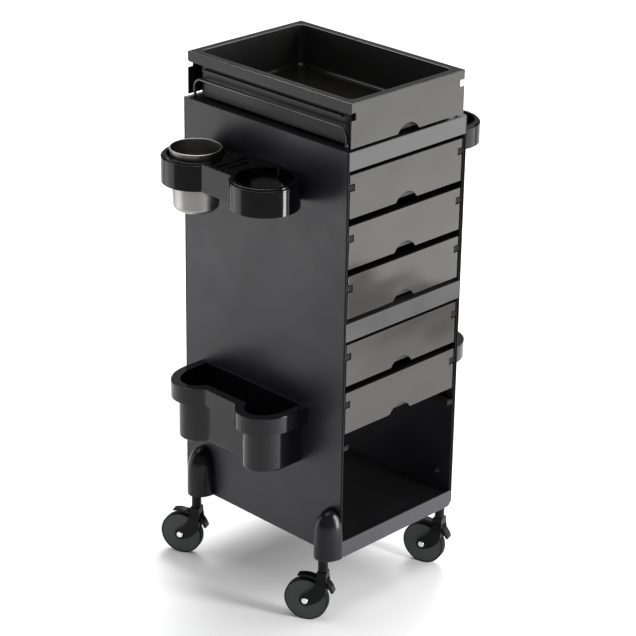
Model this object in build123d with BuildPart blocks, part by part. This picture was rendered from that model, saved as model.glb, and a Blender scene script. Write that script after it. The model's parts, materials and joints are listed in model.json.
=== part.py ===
"""Salon trolley cart: two flat side panels joined by crossbars, five drawers that slide out to the front
and to the back, a lift-off top tray, a tool holder and a basket on each side, and four braked casters.

Millimetres, +Z up, the floor at Z = 0. The front faces -Y. The origin lies under the middle of the whole
cart, trailing wheels included, so the carcass is centred on Y = BODY_Y. The right side of the cart is the
left side turned half a turn, so side parts are drawn once in (u, v): u outwards from the middle, v along
the side, with a turn of +1 for the right side and -1 for the left side. The holder and the basket hang a
little higher on the right, and the right-hand casters stand in blocks inside the ends of the base strips.
"""

import os
from math import cos, radians, sin

from build123d import *

os.makedirs("parts", exist_ok=True)

# Carcass
BODY_WIDTH = 270.0  # over the side panels
BODY_DEPTH = 374.0  # over the crossbar faces
BODY_Y = -21.0  # where the carcass centre lies behind the origin
PANEL_BOTTOM = 116.0
FRAME_TOP = 819.0
PANEL_THICK = 4.0
BAR_FACE = 2.5  # crossbar faces stand this far in front of the panels' core
PANEL_DEPTH = BODY_DEPTH - 2 * BAR_FACE
PANEL_LIP = 2.0  # the panels' outer skin runs forward past the ends of the crossbars
BAR_WIDTH = BODY_WIDTH - 2 * PANEL_LIP
INNER_HALF = BODY_WIDTH / 2 - PANEL_THICK
HALF_WIDTH = BODY_WIDTH / 2
BAR_HEIGHT = 31.0
MIDDLE_BAR_BOTTOM = 503.0
BAR_REACH = 18.0
STRIP_REACH = 40.0
SHEET = 2.0
TOP_SHELF_THICK = 4.0
BASE_SHELF_TOP = 139.0
BASE_SHELF_THICK = 6.0
BASE_STRIP_HEIGHT = 29.5
LOWER_CORNER = 11.0

# Trays: the top tray and the five drawers are one moulding
TRAY_WIDTH = 256.8
TRAY_DEPTH = 369.0
TRAY_HEIGHT = 72.0
TRAY_BORDER = 12.5  # from the outer edge to the body wall
WALL = 2.5
SKIRT_DEPTH = 17.0
SKIRT_THICK = 2.2
TOP_TRAY_RIM = 895.0
DRAWER_RIMS = (781.0, 697.0, 613.0, 496.5, 412.5)
SPARE_RIM = 335.0  # the lowest pair of runners carries no drawer
RUNNER_RIMS = (*DRAWER_RIMS, SPARE_RIM)
NOTCH_TOP = 15.2  # below the rim
NOTCH_BOTTOM = 27.4
NOTCH_WIDTH = 10.8
ARCH_WIDTH = 48.0
ARCH_HEIGHT = 14.0
RUNNER_TOP = 17.2  # below the rim
RUNNER_HEIGHT = 8.8
RUNNER_WIDTH = 12.4
RUNNER_LENGTH = 367.0

# Hoops
ROD_RADIUS = 2.5
HOOP_U = 124.5
HOOP_HALF = 171.5
HOOP_TOP = 852.0
HOOP_BEND = 15.0

# Tool holder
HOLDER_PLACES = {-1: (-17.5, 760.0, 46.0), 1: (-13.5, 777.0, 37.0)}  # turn: (middle in v, top, height)
LIP_HEIGHT = 3.0
RING_RADIUS = 56.3
RING_PITCH = 158.0
RING_MOUTH = 47.0
RING_SEAT = 41.5
SEAT_DEPTH = 14.0
BRIDGE_REACH = 88.0
BRIDGE_HOLLOW = 21.0
TOOL_SLOTS = ((28, -6, 34, 6), (64, -6, 30, 6), (47, 10, 44, 5))  # (u past the panel, v, length, width)
HOLDER_WALL = 3.0

# Basket
BASKET_PLACES = {-1: (-20.5, 363.5), 1: (-17.0, 383.5)}  # turn: (middle in v, top)
BASKET_BAND = 29.0
BASKET_HEIGHT = 103.0
LOBE_MIDDLE = 38.0
LOBE_REACH = 62.4
LOBE_HALF = 50.2
LOBE_PITCH = 154.0
BASKET_WEB = 76.5
BASKET_BORDER = 13.5
BASKET_WALL = 2.2
BASKET_HEEL = 4.0

# Tool cup
CUP_RIM = 770.0
CUP_BOTTOM = 666.0
CUP_TOP_RADIUS = 42.0
CUP_LOW_RADIUS = 37.3
CUP_HEEL = 9.0
CUP_WALL = 1.2
RIM_BEAD = 1.6

# Leg sockets on the left panel, caster blocks in the ends of the base strips on the right
LEG_BOTTOM = 117.0
LEG_TOP = 204.0
LEG_HALF = 24.2
LEG_REACH = 34.0
LEG_STEPS = (0, 0.25, 0.5, 0.7, 0.83, 0.92, 0.97, 0.995)
BLOCK_INSIDE = 112.0
BLOCK_HALF = 9.0
BUSH_RADIUS = 8.0
BLOCK_BUSH_RADIUS = 6.9

# Casters
WHEEL_RADIUS = 37.5
WHEEL_WIDTH = 14.0
DISC_RADIUS = 35.6
TRAIL = 27.0
ARM_INSIDE = 8.2
ARM_OUTSIDE = 12.2
CROWN_BOTTOM = 82.0
CROWN_TOP = 93.0
CROWN_HALF = 9.4
STEM_RADIUS = 8.25
PIN_RADIUS = 5.5
AXLE_RADIUS = 3.0
CAP_RADIUS = 5.4
CAP_THICK = 1.8
PIVOT_HEIGHT = 75.0
PIVOT_RADIUS = 2.0
RUNNING_GAP = 0.05
STEM_SHOULDER_GAP = 0.4
LEVER_HALF = 7.0

# Screws: one size throughout
SHANK_RADIUS = 2.0
HEAD_RADIUS = 3.8
HEAD_THICK = 1.8
LEG_SCREW_HEIGHT = 173.0
LEG_SCREW_SPREAD = 12.0
LEG_SCREW_DEPTH = 10.0
SPARE_SCREW_SHIFT = 17.7
STRIP_SCREW_PLACE = 152.5
BASKET_SCREW_HEIGHT = 328.0
BASKET_SCREW_SPREAD = 30.0
HOLDER_SCREW_HEIGHT = 746.0
HOLDER_SCREW_SPREAD = 14.0
RUNNER_SCREW_SPREAD = 130.0

SIDES = (("left", -1), ("right", 1))


class Corner:
    """One caster's place: side, stem centre in (u, v), trail in degrees from +X, and its bush."""

    def __init__(self, name, turn, u, v, trail, foot, bush, bush_radius):
        self.name = name
        self.turn = turn
        self.u = u
        self.v = v
        self.trail_x = cos(radians(trail))
        self.trail_y = sin(radians(trail))
        self.foot = foot
        self.bush = bush
        self.bush_radius = bush_radius


LEFT_CORNERS = (
    Corner("front_left", -1, 154.6, 166.4, 117.4, LEG_BOTTOM, 40.0, BUSH_RADIUS),
    Corner("rear_left", -1, 154.6, -141.6, 114.1, LEG_BOTTOM, 40.0, BUSH_RADIUS),
)
RIGHT_CORNERS = (
    Corner("rear_right", 1, 122.0, 173.2, 108.0, PANEL_BOTTOM, 13.0, BLOCK_BUSH_RADIUS),
    Corner("front_right", 1, 122.0, -173.2, 106.5, PANEL_BOTTOM, 13.0, BLOCK_BUSH_RADIUS),
)
CORNERS = LEFT_CORNERS + RIGHT_CORNERS


def level(height, turn=1):
    """A horizontal plane at this height, in (u, v) of the side that the turn names."""
    return Plane(origin=(0, BODY_Y, height), x_dir=(turn, 0, 0), z_dir=(0, 0, 1))


def along(v, turn=1):
    """An upright plane across the cart, drawn in (u, height), with its normal towards -v."""
    return Plane(origin=(0, BODY_Y + turn * v, 0), x_dir=(turn, 0, 0), z_dir=(0, -turn, 0))


def beside(u, turn=1):
    """An upright plane along the side, drawn in (v, height), with its normal outwards."""
    return Plane(origin=(turn * u, BODY_Y, 0), x_dir=(0, turn, 0), z_dir=(turn, 0, 0))


def save(piece, name):
    """Label a finished piece and write it."""
    piece.label = name
    export_step(piece, f"parts/{name}.step")


def at_height(piece, height):
    """The edges that lie in the horizontal plane at this height."""
    return piece.edges().filter_by_position(Axis.Z, height - 0.05, height + 0.05)


# Screws, each at (u of the head's inner face, v, height), pointing outwards


def socket_screws(corner):
    """Two beside the stem in a leg socket. A spare one closes the panel's hole near a caster block."""
    if corner.turn < 0:
        return [(corner.v + side * LEG_SCREW_SPREAD, LEG_SCREW_HEIGHT) for side in (-1, 1)]
    inwards = -1 if corner.v > 0 else 1
    return [(corner.v + inwards * SPARE_SCREW_SHIFT, LEG_SCREW_HEIGHT)]


def leg_screws(turn):
    return [spot for corner in CORNERS if corner.turn == turn for spot in socket_screws(corner)]


def basket_screws(turn):
    middle = BASKET_PLACES[turn][0]
    return [(middle + side * BASKET_SCREW_SPREAD, BASKET_SCREW_HEIGHT) for side in (-1, 1)]


def holder_screws(turn):
    middle = HOLDER_PLACES[turn][0]
    return [(middle + side * HOLDER_SCREW_SPREAD, HOLDER_SCREW_HEIGHT) for side in (-1, 1)]


def runner_height(rim):
    return rim - RUNNER_TOP - RUNNER_HEIGHT / 2


def runner_screws(turn=1):
    """The same on both sides."""
    return [(side * RUNNER_SCREW_SPREAD, runner_height(rim)) for rim in RUNNER_RIMS for side in (-1, 1)]


def bar_levels():
    """The crossbars' lowest and highest faces: top, middle and base."""
    middle = (MIDDLE_BAR_BOTTOM, MIDDLE_BAR_BOTTOM + BAR_HEIGHT)
    base = (PANEL_BOTTOM, PANEL_BOTTOM + BASE_STRIP_HEIGHT)
    top = (FRAME_TOP - BAR_HEIGHT, FRAME_TOP)
    return {"top_crossbar": top, "middle_crossbar": middle, "base_strip": base}


def bar_screws(turn=1):
    """One screw in each bar end, half way along its tab, the same on both sides."""
    spots = []
    for low, high in bar_levels().values():
        place = STRIP_SCREW_PLACE if low == PANEL_BOTTOM else (PANEL_DEPTH - BAR_REACH) / 2
        for end in (-1, 1):
            spots.append((end * place, (low + min(high, low + 22)) / 2))
    return spots


def screw_group(spots_of, head_face, length):
    """Pan-head screws whose heads rest on the face at u = head_face and whose shanks point outwards."""
    with BuildPart() as screws:
        for turn in (-1, 1):
            with BuildSketch(beside(head_face - HEAD_THICK, turn)):
                with Locations(*spots_of(turn)):
                    Circle(HEAD_RADIUS)
            extrude(amount=HEAD_THICK)
            with BuildSketch(beside(head_face, turn)):
                with Locations(*spots_of(turn)):
                    Circle(SHANK_RADIUS)
            extrude(amount=length[turn])
    return screws.part


# Side panels


def panel_outline(depth):
    """The side panel's shape, rounded at its lower corners."""
    with Locations((0, (PANEL_BOTTOM + FRAME_TOP) / 2)):
        outline = Rectangle(depth, FRAME_TOP - PANEL_BOTTOM)
    fillet(outline.vertices().group_by(Axis.Y)[0], LOWER_CORNER)
    fillet(outline.vertices().group_by(Axis.Y)[-1], 1.5)


def side_panel(turn):
    with BuildPart() as panel:
        with BuildSketch(beside(INNER_HALF, turn)):
            panel_outline(PANEL_DEPTH)
        extrude(amount=PANEL_THICK - PANEL_LIP)
        with BuildSketch(beside(HALF_WIDTH - PANEL_LIP, turn)):
            panel_outline(BODY_DEPTH)
        extrude(amount=PANEL_LIP)
        fillet(panel.faces().sort_by(Axis.X)[-1 if turn > 0 else 0].edges(), 0.8)
        with BuildSketch(beside(INNER_HALF, turn)):
            with Locations(*(leg_screws(turn) + basket_screws(turn) + holder_screws(turn))):
                Circle(SHANK_RADIUS)
        extrude(amount=PANEL_THICK, mode=Mode.SUBTRACT)
        with BuildSketch(beside(INNER_HALF, turn)):
            with Locations(*(bar_screws() + runner_screws())):
                Circle(SHANK_RADIUS)
        extrude(amount=PANEL_THICK - 1, mode=Mode.SUBTRACT)
    return panel.part


for side_name, side_turn in SIDES:
    save(side_panel(side_turn), f"side_panel_{side_name}")

# Shelves

with BuildPart() as top_shelf:
    with BuildSketch(level(FRAME_TOP - TOP_SHELF_THICK)):
        Rectangle(2 * INNER_HALF, PANEL_DEPTH)
        with Locations(*[(x, y) for x in (-HOOP_U, HOOP_U) for y in (-HOOP_HALF, HOOP_HALF)]):
            Circle(ROD_RADIUS, mode=Mode.SUBTRACT)
    extrude(amount=TOP_SHELF_THICK)
save(top_shelf.part, "top_shelf")

with BuildPart() as base_shelf:
    with BuildSketch(level(BASE_SHELF_TOP - BASE_SHELF_THICK)):
        Rectangle(2 * INNER_HALF, PANEL_DEPTH)
    extrude(amount=BASE_SHELF_THICK)
    with BuildSketch(level(BASE_SHELF_TOP - BASE_SHELF_THICK)):
        with GridLocations(80, 0, 3, 1):
            Rectangle(3, PANEL_DEPTH - 2 * STRIP_REACH - 4)
    extrude(amount=-10)
save(base_shelf.part, "base_shelf")

# Crossbars: open-backed pressings whose faces lap over the panels' core between their lips


def crossbar(low, high, turn):
    front = PANEL_DEPTH / 2
    middle = (low + high) / 2
    tab_top = high - TOP_SHELF_THICK if high == FRAME_TOP else high
    tab_top = BASE_SHELF_TOP - BASE_SHELF_THICK if low == PANEL_BOTTOM else tab_top
    with BuildPart() as bar:
        with BuildSketch(along(-front, turn)) as face:
            with Locations((0, middle)):
                Rectangle(BAR_WIDTH, high - low)
            if low == PANEL_BOTTOM:
                fillet(face.vertices().group_by(Axis.Y)[0], LOWER_CORNER - PANEL_LIP)
        extrude(amount=BAR_FACE)
        fillet(bar.faces().sort_by(Axis.Y)[0 if turn > 0 else -1].edges(), 0.8)
        with BuildSketch(along(-front, turn)):
            with Locations((0, (low + tab_top) / 2)):
                Rectangle(2 * INNER_HALF, tab_top - low)
                Rectangle(2 * INNER_HALF - 2 * SHEET, tab_top - low - 2 * SHEET, mode=Mode.SUBTRACT)
        extrude(amount=-STRIP_REACH if low == PANEL_BOTTOM else -BAR_REACH)
        with BuildSketch(beside(-INNER_HALF)):
            with Locations(*bar_screws()):
                Circle(SHANK_RADIUS)
        extrude(amount=2 * INNER_HALF, mode=Mode.SUBTRACT)
        if low == PANEL_BOTTOM:
            with BuildSketch(level(low)):
                with Locations(*[(corner.u, corner.v) for corner in RIGHT_CORNERS]):
                    Circle(BLOCK_BUSH_RADIUS)
            extrude(amount=SHEET, mode=Mode.SUBTRACT)
    return bar.part


for bar_name, (bar_low, bar_high) in bar_levels().items():
    for end_name, end_turn in (("front", 1), ("rear", -1)):
        save(crossbar(bar_low, bar_high, end_turn), f"{bar_name}_{end_name}")

# Hoops


def hoop(turn):
    foot = FRAME_TOP - TOP_SHELF_THICK
    with BuildPart() as rod:
        with BuildLine(beside(HOOP_U, turn)) as path:
            FilletPolyline(
                (-HOOP_HALF, foot), (-HOOP_HALF, HOOP_TOP), (HOOP_HALF, HOOP_TOP), (HOOP_HALF, foot),
                radius=HOOP_BEND,
            )
        with BuildSketch(Plane(origin=path.line @ 0, z_dir=path.line % 0)):
            Circle(ROD_RADIUS)
        sweep(path=path.line)
    return rod.part


for side_name, side_turn in SIDES:
    save(hoop(side_turn), f"hoop_{side_name}")

# Runners


def runner_pair(rim):
    middle = runner_height(rim)
    spots = [(side * RUNNER_SCREW_SPREAD, middle) for side in (-1, 1)]
    with BuildPart() as pair:
        for turn in (-1, 1):
            with BuildSketch(along(-RUNNER_LENGTH / 2, turn)):
                with Locations((INNER_HALF - RUNNER_WIDTH / 2, middle)):
                    RectangleRounded(RUNNER_WIDTH, RUNNER_HEIGHT, 0.8)
            extrude(amount=-RUNNER_LENGTH)
            with BuildSketch(beside(INNER_HALF - RUNNER_WIDTH, turn)):
                with Locations(*spots):
                    Circle(HEAD_RADIUS)
            extrude(amount=HEAD_THICK + 0.4, mode=Mode.SUBTRACT)
            with BuildSketch(beside(INNER_HALF - RUNNER_WIDTH, turn)):
                with Locations(*spots):
                    Circle(SHANK_RADIUS)
            extrude(amount=RUNNER_WIDTH, mode=Mode.SUBTRACT)
    return pair.part


for number, runner_rim in enumerate(RUNNER_RIMS, 1):
    save(runner_pair(runner_rim), f"runners_{number}")

# Screws

leg_screw_lengths = {-1: PANEL_THICK + LEG_SCREW_DEPTH, 1: PANEL_THICK}
save(screw_group(leg_screws, INNER_HALF, leg_screw_lengths), "leg_screws")
basket_screw_lengths = dict.fromkeys((-1, 1), PANEL_THICK + BASKET_WALL)
holder_screw_lengths = dict.fromkeys((-1, 1), PANEL_THICK + HOLDER_WALL)
save(screw_group(basket_screws, INNER_HALF, basket_screw_lengths), "basket_screws")
save(screw_group(holder_screws, INNER_HALF, holder_screw_lengths), "holder_screws")
bar_screw_length = SHEET + PANEL_THICK - 1
save(screw_group(bar_screws, INNER_HALF - SHEET, dict.fromkeys((-1, 1), bar_screw_length)), "crossbar_screws")
runner_seat = INNER_HALF - RUNNER_WIDTH + HEAD_THICK + 0.4
runner_screw_length = INNER_HALF + PANEL_THICK - 1 - runner_seat
save(screw_group(runner_screws, runner_seat, dict.fromkeys((-1, 1), runner_screw_length)), "runner_screws")

# Trays


def tray(rim):
    """A box in a flanged border, with skirts along the sides and a full-height plate at each end."""
    bottom = rim - TRAY_HEIGHT
    body_x = TRAY_WIDTH - 2 * TRAY_BORDER
    body_y = TRAY_DEPTH - 2 * TRAY_BORDER
    arch_radius = ((ARCH_WIDTH / 2) ** 2 + ARCH_HEIGHT**2) / (2 * ARCH_HEIGHT)
    with BuildPart() as shell:
        with BuildSketch(level(rim - WALL)):
            Rectangle(TRAY_WIDTH, TRAY_DEPTH)
        extrude(amount=WALL)
        with BuildSketch(level(bottom)):
            RectangleRounded(body_x, body_y, 14)
        extrude(amount=TRAY_HEIGHT)
        with BuildSketch(level(rim - SKIRT_DEPTH)):
            with GridLocations(TRAY_WIDTH - SKIRT_THICK, 0, 2, 1):
                Rectangle(SKIRT_THICK, TRAY_DEPTH)
        extrude(amount=SKIRT_DEPTH)
        with BuildSketch(level(bottom)):
            with GridLocations(0, TRAY_DEPTH - WALL, 1, 2):
                Rectangle(TRAY_WIDTH, WALL)
        extrude(amount=TRAY_HEIGHT)
        uprights = shell.edges().filter_by(Axis.Z)
        outer = uprights.filter_by(lambda edge: abs(edge.center().X) > TRAY_WIDTH / 2 - 1)
        fillet(outer.filter_by(lambda edge: edge.length > SKIRT_DEPTH), 1.2)
        fillet(shell.faces().sort_by(Axis.Z)[-1].edges(), 1.0)
        with BuildSketch(level(rim - NOTCH_BOTTOM + 1)):
            Rectangle(body_x + 12, body_y - 30)
            Rectangle(body_x - 4, body_y, mode=Mode.SUBTRACT)
        extrude(amount=-2.5)
        with BuildSketch(level(rim)):
            RectangleRounded(body_x - 2 * WALL, body_y - 2 * WALL, 14 - WALL)
        extrude(amount=WALL - TRAY_HEIGHT, mode=Mode.SUBTRACT)
        fillet(at_height(shell, bottom + WALL), 5)
        mouth = at_height(shell, rim).filter_by(lambda edge: abs(edge.center().X) < body_x / 2)
        fillet(mouth.filter_by(lambda edge: abs(edge.center().Y - BODY_Y) < body_y / 2), 1.0)
        with BuildSketch(level(rim)):
            RectangleRounded(TRAY_WIDTH - 2 * 3.6, TRAY_DEPTH - 2 * 3.6, 3)
            RectangleRounded(TRAY_WIDTH - 2 * 4.6, TRAY_DEPTH - 2 * 4.6, 2, mode=Mode.SUBTRACT)
        extrude(amount=-0.7, mode=Mode.SUBTRACT)
        for turn in (-1, 1):
            with BuildSketch(along(-TRAY_DEPTH / 2, turn)):
                with Locations((0, bottom + ARCH_HEIGHT - arch_radius)):
                    Circle(arch_radius)
                with GridLocations(TRAY_WIDTH - NOTCH_WIDTH, 0, 2, 1):
                    with Locations((0, rim - (NOTCH_TOP + NOTCH_BOTTOM) / 2)):
                        Rectangle(NOTCH_WIDTH, NOTCH_BOTTOM - NOTCH_TOP)
            extrude(amount=-WALL, mode=Mode.SUBTRACT)
    return shell.part


for number, drawer_rim in enumerate(DRAWER_RIMS, 1):
    save(tray(drawer_rim), f"drawer_{number}")
save(tray(TOP_TRAY_RIM), "top_tray")

with BuildPart() as tray_pads:
    with BuildSketch(level(FRAME_TOP)):
        with GridLocations(180, 290, 2, 2):
            Circle(9)
    extrude(amount=TOP_TRAY_RIM - TRAY_HEIGHT - FRAME_TOP)
save(tray_pads.part, "tray_pads")

# Tool holders


def ring_spots(turn):
    middle = HOLDER_PLACES[turn][0]
    return [(HALF_WIDTH + RING_RADIUS, middle + side * RING_PITCH / 2) for side in (-1, 1)]


def strip(u_low, u_high, v_low, v_high, mode=Mode.ADD):
    """A rectangle given by its limits in (u, v)."""
    with Locations(((u_low + u_high) / 2, (v_low + v_high) / 2)):
        Rectangle(u_high - u_low, v_high - v_low, mode=mode)


def tool_holder(turn):
    """Two stepped rings and a slotted bridge, a shell that is open below."""
    middle, top, height = HOLDER_PLACES[turn]
    bottom = top - height
    shoulder = top - LIP_HEIGHT
    seat_top = top - SEAT_DEPTH
    bridge_end = HALF_WIDTH + BRIDGE_REACH
    with BuildPart() as holder:
        with BuildSketch(level(bottom, turn)):
            with Locations(*ring_spots(turn)):
                Circle(RING_RADIUS)
        extrude(amount=shoulder - bottom)
        fillet(at_height(holder, shoulder), 1.0)
        with BuildSketch(level(bottom, turn)):
            strip(HALF_WIDTH, bridge_end, middle - RING_PITCH / 2, middle + RING_PITCH / 2)
            with Locations(*ring_spots(turn)):
                Circle(RING_RADIUS - 3)
        extrude(amount=height)
        fillet(at_height(holder, top), 1.0)
        with BuildSketch(level(bottom, turn)):
            with Locations(*ring_spots(turn)):
                Circle(RING_SEAT)
        extrude(amount=height, mode=Mode.SUBTRACT)
        with BuildSketch(level(seat_top, turn)):
            with Locations(*ring_spots(turn)):
                Circle(RING_MOUTH)
        extrude(amount=SEAT_DEPTH, mode=Mode.SUBTRACT)
        with BuildSketch(level(bottom, turn)):
            with Locations(*ring_spots(turn)):
                Circle(RING_RADIUS - HOLDER_WALL)
                Circle(RING_SEAT + HOLDER_WALL, mode=Mode.SUBTRACT)
        extrude(amount=seat_top - HOLDER_WALL - bottom, mode=Mode.SUBTRACT)
        with BuildSketch(level(bottom, turn)):
            hollow = (middle - BRIDGE_HOLLOW, middle + BRIDGE_HOLLOW)
            strip(HALF_WIDTH + HOLDER_WALL, bridge_end - HOLDER_WALL, *hollow)
        extrude(amount=height - HOLDER_WALL, mode=Mode.SUBTRACT)
        with BuildSketch(level(bottom, turn)):
            for u, v, length, width in TOOL_SLOTS:
                with Locations((HALF_WIDTH + u, middle + v)):
                    SlotOverall(length, width)
        extrude(amount=height, mode=Mode.SUBTRACT)
        with BuildSketch(beside(HALF_WIDTH, turn)):
            with Locations(*holder_screws(turn)):
                Circle(SHANK_RADIUS)
        extrude(amount=HOLDER_WALL, mode=Mode.SUBTRACT)
    return holder.part


for side_name, side_turn in SIDES:
    save(tool_holder(side_turn), f"tool_holder_{side_name}")

cup_u, cup_v = ring_spots(-1)[0]
cup_axis = Plane(origin=(-cup_u, BODY_Y - cup_v, 0), x_dir=(1, 0, 0), z_dir=(0, -1, 0))
with BuildPart() as tool_cup:
    with BuildSketch(cup_axis) as cup_section:
        with BuildLine():
            base = Line((0, CUP_BOTTOM), (CUP_LOW_RADIUS - CUP_HEEL, CUP_BOTTOM))
            heel = TangentArc(base @ 1, (CUP_LOW_RADIUS, CUP_BOTTOM + CUP_HEEL), tangent=(1, 0))
            flank = Line(heel @ 1, (CUP_TOP_RADIUS, CUP_RIM - 1))
            brim = Line(flank @ 1, (CUP_TOP_RADIUS - CUP_WALL, CUP_RIM - 1))
            inner = Line(brim @ 1, (CUP_LOW_RADIUS - CUP_WALL, CUP_BOTTOM + CUP_HEEL))
            toe_end = (CUP_LOW_RADIUS - CUP_HEEL, CUP_BOTTOM + CUP_WALL)
            toe = TangentArc(inner @ 1, toe_end, tangent=(0, -1))
            Polyline(toe @ 1, (0, CUP_BOTTOM + CUP_WALL), base @ 0)
        make_face()
        with Locations((CUP_TOP_RADIUS - 0.4, CUP_RIM - RIM_BEAD)):
            Circle(RIM_BEAD)
    revolve(axis=Axis(cup_axis.origin, (0, 0, 1)))
save(tool_cup.part, "tool_cup")

# Baskets


def lobes(middle, inset):
    """The basket's outline, moved in by the inset everywhere but along the panel."""
    for side in (-1, 1):
        v = middle + side * LOBE_PITCH / 2
        strip(HALF_WIDTH, HALF_WIDTH + LOBE_MIDDLE, v - LOBE_HALF + inset, v + LOBE_HALF - inset)
        with Locations((HALF_WIDTH + LOBE_MIDDLE, v)):
            Ellipse(LOBE_REACH - inset, LOBE_HALF - inset)
    half = LOBE_PITCH / 2
    strip(HALF_WIDTH, HALF_WIDTH + BASKET_WEB - inset, middle - half, middle + half)
    strip(HALF_WIDTH - LOBE_REACH, HALF_WIDTH, middle - 2 * half, middle + 2 * half, Mode.SUBTRACT)


def round_web(sketch, inset, radius):
    """Round the two inner corners where the web meets the lobes."""
    u = HALF_WIDTH + BASKET_WEB - inset
    corners = sketch.vertices().filter_by(lambda vertex: abs(vertex.X - u) < 0.01)
    fillet(corners, radius)


def basket(turn):
    """A two-lobed bin hanging from a broad rim with a turned-down band."""
    middle, top = BASKET_PLACES[turn]
    bottom = top - BASKET_HEIGHT
    low_band = top - BASKET_BAND
    with BuildPart() as bin_body:
        with BuildSketch(level(low_band, turn)) as band:
            lobes(middle, 0)
            round_web(band, 0, 9)
        extrude(amount=BASKET_BAND)
        with BuildSketch(level(low_band, turn)) as band_inside:
            lobes(middle, BASKET_WALL)
            round_web(band_inside, BASKET_WALL, 9)
        extrude(amount=BASKET_BAND - BASKET_WALL, mode=Mode.SUBTRACT)
        with BuildSketch(level(bottom, turn)) as body:
            lobes(middle, BASKET_BORDER)
            round_web(body, BASKET_BORDER, 6)
        extrude(amount=BASKET_HEIGHT)
        fillet(at_height(bin_body, top).filter_by(lambda edge: abs(edge.center().X) > HALF_WIDTH + 1), 1.0)
        heel = at_height(bin_body, bottom)
        fillet(heel.filter_by(lambda edge: abs(edge.center().X) > HALF_WIDTH + 1), BASKET_HEEL)
        inner = BASKET_BORDER + BASKET_WALL
        with BuildSketch(level(top, turn)) as cavity:
            lobes(middle, inner)
            round_web(cavity, inner, 5)
            strip(HALF_WIDTH, HALF_WIDTH + BASKET_WALL, middle - 140, middle + 140, Mode.SUBTRACT)
        extrude(amount=BASKET_WALL - BASKET_HEIGHT, mode=Mode.SUBTRACT)
        with BuildSketch(beside(HALF_WIDTH, turn)):
            with Locations(*basket_screws(turn)):
                Circle(SHANK_RADIUS)
        extrude(amount=BASKET_WALL, mode=Mode.SUBTRACT)
    return bin_body.part


for side_name, side_turn in SIDES:
    save(basket(side_turn), f"basket_{side_name}")

# Leg sockets on the left: half a bullet against the panel, bored from below for the stem bush


def half_ellipse(v, reach, half):
    """Half an ellipse that stands on the panel's outer face."""
    with Locations((HALF_WIDTH, v)):
        Ellipse(reach, half)
    strip(HALF_WIDTH, HALF_WIDTH + reach, v - half, v + half, Mode.INTERSECT)


def leg_socket(corner):
    with BuildPart() as leg:
        for step in LEG_STEPS:
            left = 1 - step**2
            with BuildSketch(level(LEG_BOTTOM + (LEG_TOP - LEG_BOTTOM) * step, corner.turn)):
                half_ellipse(corner.v, LEG_REACH * left**0.4, LEG_HALF * left**0.5)
        loft()
        with BuildSketch(level(LEG_BOTTOM, corner.turn)):
            with Locations((corner.u, corner.v)):
                Circle(corner.bush_radius)
        extrude(amount=corner.bush, mode=Mode.SUBTRACT)
        with BuildSketch(beside(HALF_WIDTH, corner.turn)):
            with Locations(*socket_screws(corner)):
                Circle(SHANK_RADIUS)
        extrude(amount=LEG_SCREW_DEPTH, mode=Mode.SUBTRACT)
    return leg.part


# Caster blocks on the right: each fills the end of a base strip's channel, between its two flanges


def caster_block(corner):
    low = PANEL_BOTTOM + SHEET
    high = BASE_SHELF_TOP - BASE_SHELF_THICK - SHEET
    with BuildPart() as block:
        with BuildSketch(level(low, corner.turn)) as base:
            strip(BLOCK_INSIDE, INNER_HALF - SHEET, corner.v - BLOCK_HALF, corner.v + BLOCK_HALF)
            fillet(base.vertices().group_by(Axis.X)[0], 3)
        extrude(amount=high - low)
        with BuildSketch(level(low, corner.turn)):
            with Locations((corner.u, corner.v)):
                Circle(corner.bush_radius)
        extrude(amount=corner.foot + corner.bush - low, mode=Mode.SUBTRACT)
    return block.part


for corner in LEFT_CORNERS:
    save(leg_socket(corner), f"leg_socket_{corner.name}")
for corner in RIGHT_CORNERS:
    save(caster_block(corner), f"caster_block_{corner.name}")

with BuildPart() as stem_bushes:
    for corner in CORNERS:
        with BuildSketch(level(corner.foot, corner.turn)):
            with Locations((corner.u, corner.v)):
                Circle(corner.bush_radius)
                Circle(PIN_RADIUS + RUNNING_GAP, mode=Mode.SUBTRACT)
        extrude(amount=corner.bush)
save(stem_bushes.part, "stem_bushes")

# Casters, drawn in (trail, height) with the wheel behind the stem


def stem_place(corner, height):
    return (corner.turn * corner.u, BODY_Y + corner.turn * corner.v, height)


def caster_level(corner, height):
    """A horizontal plane centred on a stem, with x along the trail."""
    trail = (corner.trail_x, corner.trail_y, 0)
    return Plane(origin=stem_place(corner, height), x_dir=trail, z_dir=(0, 0, 1))


def caster_side(corner):
    """The upright plane through a stem and its wheel, with its normal along the axle."""
    trail = (corner.trail_x, corner.trail_y, 0)
    return Plane(origin=stem_place(corner, 0), x_dir=trail, z_dir=(corner.trail_y, -corner.trail_x, 0))


def caster_end(corner):
    """The upright plane across a caster through its stem, drawn in (axle, height)."""
    axle_line = (corner.trail_y, -corner.trail_x, 0)
    return Plane(origin=stem_place(corner, 0), x_dir=axle_line, z_dir=(-corner.trail_x, -corner.trail_y, 0))


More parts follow.
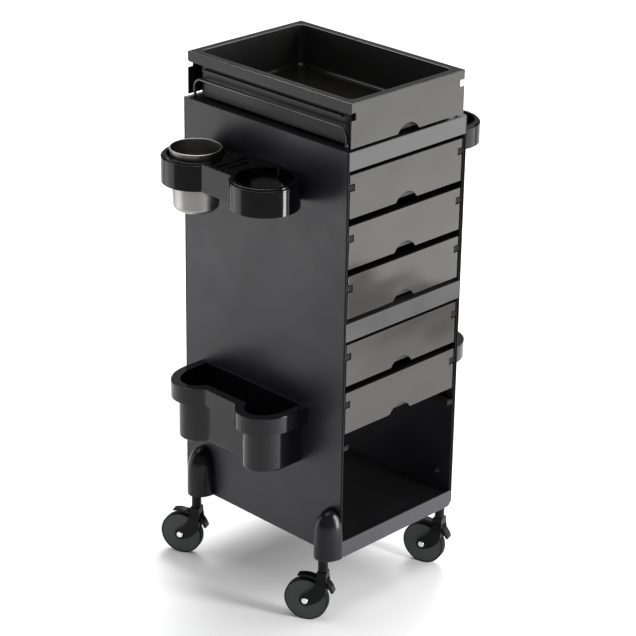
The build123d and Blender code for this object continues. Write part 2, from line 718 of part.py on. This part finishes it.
def fork(corner):
    side = caster_side(corner)
    with BuildPart() as body:
        with BuildSketch(side) as outline:
            with BuildLine():
                nose = Polyline((STEM_RADIUS, CROWN_TOP), (-STEM_RADIUS, CROWN_TOP), (-STEM_RADIUS - 1.2, 68))
                under = ThreePointArc(nose @ 1, (-2.5, 46.5), (20.5, 29.8))
                boss = ThreePointArc(under @ 1, (35.2, 31.8), (35.2, 43.2))
                over = ThreePointArc(boss @ 1, (16.5, 60.5), (STEM_RADIUS + 0.8, 76))
                Line(over @ 1, nose @ 0)
            make_face()
            fillet(outline.vertices().filter_by(lambda vertex: vertex.Y < 80), 2)
        extrude(amount=ARM_OUTSIDE, both=True)
        cheeks = body.faces().sort_by(Axis((0, 0, 0), side.z_dir))
        fillet(cheeks[0].edges() + cheeks[-1].edges(), 0.9)
        with BuildSketch(caster_end(corner)):
            with BuildLine():
                Polyline(
                    (ARM_OUTSIDE, 0), (ARM_OUTSIDE, 70), (CROWN_HALF, 86), (CROWN_HALF, CROWN_TOP),
                    (-CROWN_HALF, CROWN_TOP), (-CROWN_HALF, 86), (-ARM_OUTSIDE, 70), (-ARM_OUTSIDE, 0),
                    close=True,
                )
            make_face()
        extrude(amount=120, both=True, mode=Mode.INTERSECT)
        with BuildSketch(side):
            with Locations((0, CROWN_BOTTOM / 2)):
                Rectangle(120, CROWN_BOTTOM)
        extrude(amount=ARM_INSIDE, both=True, mode=Mode.SUBTRACT)
        with BuildSketch(caster_level(corner, CROWN_TOP - 4)):
            Circle(STEM_RADIUS)
        extrude(amount=corner.foot - CROWN_TOP + 4 - STEM_SHOULDER_GAP)
        with BuildSketch(caster_level(corner, CROWN_TOP)):
            Circle(PIN_RADIUS)
        extrude(amount=corner.foot + corner.bush - 1 - CROWN_TOP)
        with BuildSketch(side):
            with Locations((TRAIL, WHEEL_RADIUS)):
                Circle(AXLE_RADIUS)
            with Locations((0, PIVOT_HEIGHT)):
                Circle(PIVOT_RADIUS + RUNNING_GAP)
        extrude(amount=ARM_OUTSIDE, both=True, mode=Mode.SUBTRACT)
    return body.part


def wheel_disc(corner):
    side = caster_side(corner)
    with BuildPart() as disc:
        with BuildSketch(side):
            with Locations((TRAIL, WHEEL_RADIUS)):
                Circle(DISC_RADIUS)
        extrude(amount=WHEEL_WIDTH / 2 - 0.9, both=True)
        with BuildSketch(side):
            with Locations((TRAIL, WHEEL_RADIUS)):
                Circle(9)
        extrude(amount=WHEEL_WIDTH / 2 + 0.4, both=True)
        with BuildSketch(side):
            with Locations((TRAIL, WHEEL_RADIUS)):
                Circle(AXLE_RADIUS + RUNNING_GAP)
        extrude(amount=WHEEL_WIDTH, both=True, mode=Mode.SUBTRACT)
    return disc.part


def tyre(corner):
    with BuildPart() as ring:
        with BuildSketch(caster_side(corner)):
            with Locations((TRAIL, WHEEL_RADIUS)):
                Circle(WHEEL_RADIUS)
        extrude(amount=WHEEL_WIDTH / 2, both=True)
        fillet(ring.edges().filter_by(GeomType.CIRCLE), 1.4)
        with BuildSketch(caster_side(corner)):
            with Locations((TRAIL, WHEEL_RADIUS)):
                Circle(DISC_RADIUS)
        extrude(amount=WHEEL_WIDTH, both=True, mode=Mode.SUBTRACT)
    return ring.part


def axle(corner):
    side = caster_side(corner)
    with BuildPart() as pin:
        with BuildSketch(side):
            with Locations((TRAIL, WHEEL_RADIUS)):
                Circle(CAP_RADIUS)
        extrude(amount=ARM_OUTSIDE + CAP_THICK, both=True)
        ends = pin.faces().sort_by(Axis((0, 0, 0), side.z_dir))
        fillet(ends[0].edges() + ends[-1].edges(), 1.3)
        with BuildSketch(side):
            with Locations((TRAIL, WHEEL_RADIUS)):
                Circle(CAP_RADIUS + 1)
                Circle(AXLE_RADIUS, mode=Mode.SUBTRACT)
        extrude(amount=ARM_OUTSIDE, both=True, mode=Mode.SUBTRACT)
    return pin.part


def brake_lever(corner):
    """A rocker between the fork's arms: a fin over the tread and a hooked toe tab in front."""
    side = caster_side(corner)
    with BuildPart() as lever:
        with BuildSketch(side) as outline:
            with BuildLine():
                tip = Line((42, 78.9), (42.6, 81.2))
                fin = ThreePointArc(tip @ 1, (25, 84), (8, 80.4))
                top = Line(fin @ 1, (-4, 80.4))
                back = ThreePointArc(top @ 1, (-15, 70.5), (-21, 57.5))
                toe = Line(back @ 1, (-16.6, 55.2))
                belly = ThreePointArc(toe @ 1, (-11.5, 63.5), (-4, 68))
                ThreePointArc(belly @ 1, (17, 78.3), tip @ 0)
            make_face()
            fillet(outline.vertices().filter_by(lambda vertex: vertex.Y < 60), 1.8)
            fillet(outline.vertices().filter_by(lambda vertex: vertex.X > 40), 0.9)
            fillet(outline.vertices().filter_by(lambda vertex: -5 < vertex.X < 10), 5)
        extrude(amount=LEVER_HALF, both=True)
        cheeks = lever.faces().sort_by(Axis((0, 0, 0), side.z_dir))
        fillet(cheeks[0].edges() + cheeks[-1].edges(), 0.9)
        with BuildSketch(side):
            with Locations((0, PIVOT_HEIGHT)):
                Circle(PIVOT_RADIUS)
        extrude(amount=CROWN_HALF + 1.2, both=True)
    return lever.part


CASTER_PIECES = {
    "caster_fork": fork,
    "wheel_disc": wheel_disc,
    "tyre": tyre,
    "axle": axle,
    "brake_lever": brake_lever,
}
for corner in CORNERS:
    for piece_name, build_piece in CASTER_PIECES.items():
        save(build_piece(corner), f"{piece_name}_{corner.name}")
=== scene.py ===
"""Looks for the salon trolley cart: procedural materials for every CAD node,
smooth covers for the two leg sockets, a plain pale floor, soft studio light and the camera."""

import json
import math

import bmesh
import bpy
from mathutils import Matrix, Vector


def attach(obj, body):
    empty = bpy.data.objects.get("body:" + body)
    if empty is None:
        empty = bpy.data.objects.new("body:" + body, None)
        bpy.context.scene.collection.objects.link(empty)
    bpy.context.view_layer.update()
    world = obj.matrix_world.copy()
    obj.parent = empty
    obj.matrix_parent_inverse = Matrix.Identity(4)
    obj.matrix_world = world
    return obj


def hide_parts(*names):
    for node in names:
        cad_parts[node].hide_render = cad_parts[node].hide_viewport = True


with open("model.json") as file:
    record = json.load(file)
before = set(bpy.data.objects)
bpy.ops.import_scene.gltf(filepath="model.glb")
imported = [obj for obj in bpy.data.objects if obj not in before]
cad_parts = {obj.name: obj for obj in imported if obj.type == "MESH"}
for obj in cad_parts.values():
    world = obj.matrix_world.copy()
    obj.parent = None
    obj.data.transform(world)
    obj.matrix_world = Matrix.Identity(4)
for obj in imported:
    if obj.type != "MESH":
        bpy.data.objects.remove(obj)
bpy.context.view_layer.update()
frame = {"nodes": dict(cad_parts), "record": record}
NODES = frame["nodes"]

# ---------------------------------------------------------------- camera

BODY_Y = -0.021  # where the carcass's middle lies
CARCASS_END = 0.18395  # from there to its front and back faces, less a hair
CAMERA_PLACE = (-2.518, -2.5024, 1.996)
CAMERA_AZIMUTH = -45.34
CAMERA_ELEVATION = 23.67
CAMERA_ROLL = 0.90
CAMERA_LENS = 130.84


def make_camera():
    data = bpy.data.cameras.new("camera")
    data.lens = CAMERA_LENS
    data.sensor_width = 36
    data.clip_start = 0.1
    data.clip_end = 50
    camera = bpy.data.objects.new("camera", data)
    bpy.context.scene.collection.objects.link(camera)
    azimuth = math.radians(CAMERA_AZIMUTH)
    elevation = math.radians(CAMERA_ELEVATION)
    flat = math.cos(elevation)
    back = Vector((math.sin(azimuth) * flat, -math.cos(azimuth) * flat, math.sin(elevation)))
    turn = (-back).to_track_quat("-Z", "Y").to_matrix().to_4x4()
    roll = Matrix.Rotation(math.radians(CAMERA_ROLL), 4, "Z")
    camera.matrix_world = Matrix.Translation(CAMERA_PLACE) @ turn @ roll
    bpy.context.scene.camera = camera


make_camera()

# ---------------------------------------------------------------- materials


class Nodes:
    """A short way to write a node tree: each call makes a node, sets its values and links its inputs."""

    def __init__(self, name):
        self.material = bpy.data.materials.new(name)
        self.material.use_nodes = True
        self.tree = self.material.node_tree
        self.tree.nodes.clear()
        self.output = self.tree.nodes.new("ShaderNodeOutputMaterial")

    def add(self, kind, settings=None, **inputs):
        node = self.tree.nodes.new("ShaderNode" + kind)
        for key, value in (settings or {}).items():
            setattr(node, key, value)
        for key, value in inputs.items():
            self.put(node, key.replace("_", " "), value)
        return node

    def put(self, node, key, value):
        socket = node.inputs[int(key)] if key.isdigit() else node.inputs[key]
        if isinstance(value, bpy.types.NodeSocket):
            self.tree.links.new(value, socket)
        else:
            socket.default_value = value

    def place(self, stretch=(1, 1, 1)):
        coordinates = self.add("TexCoord")
        mapping = self.add("Mapping", Vector=coordinates.outputs["Object"], Scale=stretch)
        return mapping.outputs["Vector"]

    def noise(self, where, scale, detail=3.0, roughness=0.5):
        node = self.add("TexNoise", Vector=where, Scale=scale, Detail=detail, Roughness=roughness)
        return node.outputs["Fac"]

    def span(self, value, low, high, source_low=0.3, source_high=0.7):
        node = self.add("MapRange")
        self.put(node, "Value", value)
        self.put(node, "From Min", source_low)
        self.put(node, "From Max", source_high)
        self.put(node, "To Min", low)
        self.put(node, "To Max", high)
        return node.outputs["Result"]

    def tint(self, factor, first, second):
        node = self.add("Mix", {"data_type": "RGBA"})
        self.put(node, "0", factor)
        node.inputs[6].default_value = (*first, 1)
        node.inputs[7].default_value = (*second, 1)
        return node.outputs[2]

    def blend(self, factor, first, second):
        """A number that goes from first to second."""
        node = self.add("Mix")
        for socket, value in zip((0, 2, 3), (factor, first, second)):
            self.put(node, str(socket), value)
        return node.outputs[0]

    def darken(self, factor, colour, dark):
        """The colour where the factor is one, the dark one where it is zero."""
        node = self.add("Mix", {"data_type": "RGBA"})
        self.put(node, "0", factor)
        self.put(node, "6", (*dark, 1))
        self.put(node, "7", colour)
        return node.outputs[2]

    def end_mask(self, reach):
        """One on the surfaces further than reach from the carcass's middle, to the front or the back."""
        coordinates = self.add("TexCoord")
        split = self.add("SeparateXYZ", Vector=coordinates.outputs["Object"])
        shifted = self.add("Math", {"operation": "SUBTRACT"})
        self.put(shifted, "0", split.outputs["Y"])
        self.put(shifted, "1", BODY_Y)
        size = self.add("Math", {"operation": "ABSOLUTE"})
        self.put(size, "0", shifted.outputs[0])
        beyond = self.add("Math", {"operation": "GREATER_THAN"})
        self.put(beyond, "0", size.outputs[0])
        self.put(beyond, "1", reach)
        return beyond.outputs[0]

    def top_mask(self):
        """One on the surfaces that face upwards."""
        geometry = self.add("NewGeometry")
        split = self.add("SeparateXYZ", Vector=geometry.outputs["Normal"])
        upwards = self.add("Math", {"operation": "GREATER_THAN"})
        self.put(upwards, "0", split.outputs["Z"])
        self.put(upwards, "1", 0.5)
        return upwards.outputs[0]

    def either(self, first, second):
        node = self.add("Math", {"operation": "MAXIMUM"})
        self.put(node, "0", first)
        self.put(node, "1", second)
        return node.outputs[0]

    def bump(self, height, distance, strength=1.0, normal=None):
        node = self.add("Bump", Height=height, Distance=distance, Strength=strength)
        if normal is not None:
            self.put(node, "Normal", normal)
        return node.outputs["Normal"]

    def surface(self, **values):
        shader = self.add("BsdfPrincipled")
        for key, value in values.items():
            self.put(shader, key.replace("_", " "), value)
        self.tree.links.new(shader.outputs["BSDF"], self.output.inputs["Surface"])
        return self.material


def shade(colour, factor):
    return tuple(min(1, channel * factor) for channel in colour)


SKIN_SCALE = 1500
SKIN_DEPTH = 0.00002
FLOW_CHANGE = 0.08
PEEL_SCALE = 700
SPECK_SCALE = 2600
MOTTLE_CHANGE = 0.06
GRIT_DEPTH = 0.00006
BRUSH_DEPTH = 0.00003


def moulded(name, colour, rough, level=0.5, wave=0.0, painted_shade_reach=None):
    """Moulded plastic: faint flow marks in the colour, uneven gloss and a fine skin.

    With wave, its large faces are slightly warped. With an end reach, only the outer end faces and the
    faces that look up are polished, and every face but the outer end faces is painted at a quarter of the
    colour, as painted shade on the sides, tops and inside.
    """
    tree = Nodes(name)
    where = tree.place()
    flow = tree.noise(tree.place((1, 1, 0.25)), 9, 4)
    skin = tree.noise(where, SKIN_SCALE, 2)
    waves = tree.noise(where, 60, 2)
    smear = tree.noise(where, 22, 5, 0.6)
    low, high = shade(colour, 1 - FLOW_CHANGE), shade(colour, 1 + FLOW_CHANGE)
    base = tree.tint(tree.span(flow, 0, 1), low, high)
    gloss = tree.span(smear, rough * 0.82, rough * 1.2)
    normal = tree.bump(waves, SKIN_DEPTH * 6, 0.5, tree.bump(skin, SKIN_DEPTH))
    if wave:
        normal = tree.bump(tree.noise(tree.place((1, 1, 1.6)), 6.5, 1), wave, 1.0, normal)
    if painted_shade_reach:
        mask = tree.end_mask(painted_shade_reach)
        # painted shade: all but the outer end faces get a quarter of the colour, for the darker sides, tops
        # and inside
        base = tree.darken(mask, base, shade(colour, 0.25))
        gloss = tree.blend(tree.either(mask, tree.top_mask()), 0.5, gloss)
    return tree.surface(Base_Color=base, Roughness=gloss, Specular_IOR_Level=level, Normal=normal)


def coated(name, colour, rough, level=0.5, depth=0.00003, edge=None):
    """Powder-coated sheet: orange peel, a slight mottle and a few rubbed patches. With edge, the front and
    back edge faces are matt and coloured at 0.15 of the colour.
    """
    tree = Nodes(name)
    where = tree.place()
    mottle = tree.noise(where, 5, 2, 0.5)
    rubbed = tree.noise(where, 18, 2, 0.5)
    orange = tree.noise(where, PEEL_SCALE, 2)
    speck = tree.noise(where, SPECK_SCALE, 1)
    low, high = shade(colour, 1 - MOTTLE_CHANGE), shade(colour, 1 + MOTTLE_CHANGE)
    base = tree.tint(tree.span(mottle, 0, 1), low, high)
    gloss = tree.span(rubbed, rough * 0.85, rough * 1.15)
    if edge:
        mask = tree.end_mask(edge)
        base = tree.darken(tree.blend(mask, 1.0, 0.0), base, shade(colour, 0.15))
        gloss = tree.blend(mask, gloss, 0.8)
    normal = tree.bump(speck, depth * 0.4, 0.6, tree.bump(orange, depth))
    return tree.surface(Base_Color=base, Roughness=gloss, Specular_IOR_Level=level, Normal=normal)


def brushed(name, colour, rough, stretch):
    """Brushed or turned metal with marks along one direction."""
    tree = Nodes(name)
    marks = tree.noise(tree.place(stretch), 40, 4, 0.6)
    clouds = tree.noise(tree.place(), 30, 3)
    base = tree.tint(tree.span(clouds, 0, 1), shade(colour, 0.88), shade(colour, 1.06))
    gloss = tree.span(marks, rough * 0.75, rough * 1.3)
    normal = tree.bump(marks, BRUSH_DEPTH, 0.7)
    return tree.surface(Base_Color=base, Metallic=1.0, Roughness=gloss, Normal=normal)


def rubber(name, colour, rough):
    """Tread rubber: fine grit and a dusty bloom."""
    tree = Nodes(name)
    where = tree.place()
    bloom = tree.noise(where, 45, 5, 0.6)
    grit = tree.noise(where, 1800, 3)
    base = tree.tint(tree.span(bloom, 0, 1), shade(colour, 0.8), shade(colour, 1.5))
    return tree.surface(
        Base_Color=base,
        Roughness=tree.span(bloom, rough * 0.9, rough * 1.1),
        Specular_IOR_Level=0.12,
        Normal=tree.bump(grit, GRIT_DEPTH),
    )


MATERIALS = {
    "panel_paint": coated("panel_coat", (0.0135, 0.0132, 0.0178), 0.34, 0.35, edge=CARCASS_END),
    "bar_paint": coated("bar_coat", (0.030, 0.030, 0.031), 0.22, 0.6),
    "strip_paint": coated("strip_coat", (0.028, 0.028, 0.034), 0.3, 0.42, depth=0.000005),
    "shelf_paint": coated("shelf_coat", (0.008, 0.008, 0.009), 0.4, 0.3),
    "hoop_coat": coated("hoop_coat", (0.004, 0.004, 0.005), 0.14, 0.8),
    "runner_plastic": moulded("runner_plastic", (0.012, 0.012, 0.010), 0.65, 0.1),
    "tray_plastic": moulded("tray_plastic", (0.020, 0.0185, 0.017), 0.1, 0.5, wave=0.004, painted_shade_reach=CARCASS_END),
    "pad_rubber": rubber("pad_rubber", (0.012, 0.012, 0.012), 0.8),
    "holder_plastic": moulded("holder_plastic", (0.0011, 0.0011, 0.0015), 0.09, 0.26),
    "cup_steel": brushed("cup_steel", (0.34, 0.335, 0.32), 0.34, (1, 1, 30)),
    "basket_plastic": moulded("basket_plastic", (0.006, 0.006, 0.0078), 0.11, 0.34),
    "leg_plastic": moulded("leg_plastic", (0.005, 0.005, 0.0066), 0.18, 0.26),
    "bush_plastic": moulded("bush_plastic", (0.015, 0.015, 0.015), 0.5),
    "screw_steel": brushed("screw_steel", (0.5, 0.5, 0.5), 0.3, (30, 1, 1)),
    "fork_plastic": moulded("fork_plastic", (0.0022, 0.0024, 0.0026), 0.28, 0.13),
    "disc_plastic": moulded("disc_plastic", (0.05, 0.056, 0.056), 0.5, 0.3),
    "tyre_rubber": rubber("tyre_rubber", (0.004, 0.004, 0.0045), 0.6),
    "axle_metal": brushed("axle_metal", (0.9, 0.9, 0.9), 0.22, (1, 30, 1)),
    "brake_plastic": moulded("brake_plastic", (0.003, 0.0034, 0.0034), 0.25, 0.18),
}
SLOT_OF = {row["node"]: row["material_slot"] for row in frame["record"]["subparts"]}


def dress(piece, material):
    piece.data.materials.clear()
    piece.data.materials.append(material)


for node_name, node in NODES.items():
    dress(node, MATERIALS[SLOT_OF[node_name]])

# ---------------------------------------------------------------- leg sockets

PANEL_FACE = -0.135
LEG_LOW = 0.117
LEG_HIGH = 0.204
LEG_HALF = 0.0242
LEG_REACH = 0.034
LEG_EDGE = 0.0012  # rounding of the foot
REACH_POWER = 6.5  # the higher, the longer the front stays upright below the dome
HALF_POWER = 4.2
CROWDING = 2.2  # how much closer the rings lie near the top
LEG_RINGS = 48
LEG_SIDES = 48
BORE_PLACE = 0.0196  # out from the panel
BORE_RADIUS = 0.00802
BORE_TOP = 0.157
LEG_MIDDLES = {"leg_socket_front_left": -0.1664, "leg_socket_rear_left": 0.1416}


def leg_outline(share, shrink=0.0):
    """Half an outline that stands on the panel, at this share of the height."""
    reach = LEG_REACH * (1 - share**REACH_POWER) ** 0.5 - shrink
    half = LEG_HALF * (1 - share**HALF_POWER) ** 0.5 - shrink
    points = []
    for step in range(LEG_SIDES + 1):
        angle = math.pi * step / LEG_SIDES
        points.append((reach * math.sin(angle), -half * math.cos(angle)))
    return points


def join(mesh, low, high):
    """A band of smooth faces between two closed rings."""
    for step in range(len(low)):
        face = mesh.faces.new((low[step - 1], low[step], high[step], high[step - 1]))
        face.smooth = True


def rim(mesh, ring):
    return [mesh.edges.get((ring[step - 1], ring[step])) for step in range(len(ring))]


def leg_cover(node_name, middle):
    """The socket with its domed top and a rounded foot, in place of the plain node."""
    mesh = bmesh.new()

    def ring(height, outline):
        return [mesh.verts.new((PANEL_FACE - u, BODY_Y + middle + v, height)) for u, v in outline]

    rings = [ring(LEG_LOW, leg_outline(0, LEG_EDGE)), ring(LEG_LOW + LEG_EDGE, leg_outline(0))]
    for index in range(1, LEG_RINGS):
        share = 1 - (1 - index / LEG_RINGS) ** CROWDING
        rings.append(ring(LEG_LOW + (LEG_HIGH - LEG_LOW) * share, leg_outline(share)))
    for low, high in zip(rings, rings[1:]):
        join(mesh, low, high)
    mesh.faces.new(rings[-1])
    turns = [2 * math.pi * step / LEG_SIDES for step in range(LEG_SIDES)]
    circle = [(BORE_PLACE + BORE_RADIUS * math.cos(a), BORE_RADIUS * math.sin(a)) for a in turns]
    mouth, floor = ring(LEG_LOW, circle), ring(BORE_TOP, circle)
    join(mesh, mouth, floor)
    mesh.faces.new(floor)
    foot = rim(mesh, rings[0]) + rim(mesh, mouth)
    bmesh.ops.triangle_fill(mesh, use_beauty=True, use_dissolve=False, edges=foot)
    bmesh.ops.recalc_face_normals(mesh, faces=mesh.faces)
    data = bpy.data.meshes.new(node_name + "_cover")
    mesh.to_mesh(data)
    mesh.free()
    cover = bpy.data.objects.new(node_name + "_cover", data)
    bpy.context.scene.collection.objects.link(cover)
    dress(cover, MATERIALS[SLOT_OF[node_name]])
    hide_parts(node_name)
    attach(cover, "chassis")


for leg_name, leg_middle in LEG_MIDDLES.items():
    leg_cover(leg_name, leg_middle)

# ---------------------------------------------------------------- floor, light

WORLD_STRENGTH = 0.25


def make_floor():
    mesh = bmesh.new()
    bmesh.ops.create_grid(mesh, x_segments=8, y_segments=8, size=8)
    data = bpy.data.meshes.new("floor")
    mesh.to_mesh(data)
    mesh.free()
    floor = bpy.data.objects.new("floor", data)
    bpy.context.scene.collection.objects.link(floor)
    tree = Nodes("floor_paint")
    clouds = tree.noise(tree.place(), 1.5, 3)
    base = tree.tint(tree.span(clouds, 0, 1), (0.93, 0.93, 0.93), (0.95, 0.95, 0.95))
    dress(floor, tree.surface(Base_Color=base, Roughness=0.6))


def make_light(name, place, target, size, radiance):
    """A rectangular softbox whose face has this radiance."""
    data = bpy.data.lights.new(name, "AREA")
    data.shape = "RECTANGLE"
    data.size, data.size_y = size
    data.energy = radiance * math.pi * size[0] * size[1]
    light = bpy.data.objects.new(name, data)
    bpy.context.scene.collection.objects.link(light)
    direction = Vector(target) - Vector(place)
    light.rotation_mode = "QUATERNION"
    light.rotation_quaternion = direction.to_track_quat("-Z", "Y")
    light.location = place


def make_world():
    world = bpy.data.worlds.new("studio")
    world.use_nodes = True
    background = world.node_tree.nodes["Background"]
    background.inputs["Color"].default_value = (1, 1, 1, 1)
    background.inputs["Strength"].default_value = WORLD_STRENGTH
    bpy.context.scene.world = world


make_floor()
make_world()
make_light("front_right", (0.88, -0.88, 0.67), (0, 0, 0.67), (0.9, 1.1), 2.3)
make_light("back_left", (-0.9, 0.9, 0.56), (0, 0, 0.56), (0.9, 1.1), 1.5)
make_light("strip", (0.3, -1.3, 0.6), (-0.1, 0, 0.6), (0.22, 1.2), 24)
make_light("overhead", (0.3, 0.4, 2.6), (0.3, 0.4, 0), (2.6, 2.6), 2.0)
make_light("far_floor", (1.8, 1.8, 2.8), (1.8, 1.8, 0), (2.2, 2.2), 8.0)
bpy.context.scene.view_settings.view_transform = "Standard"
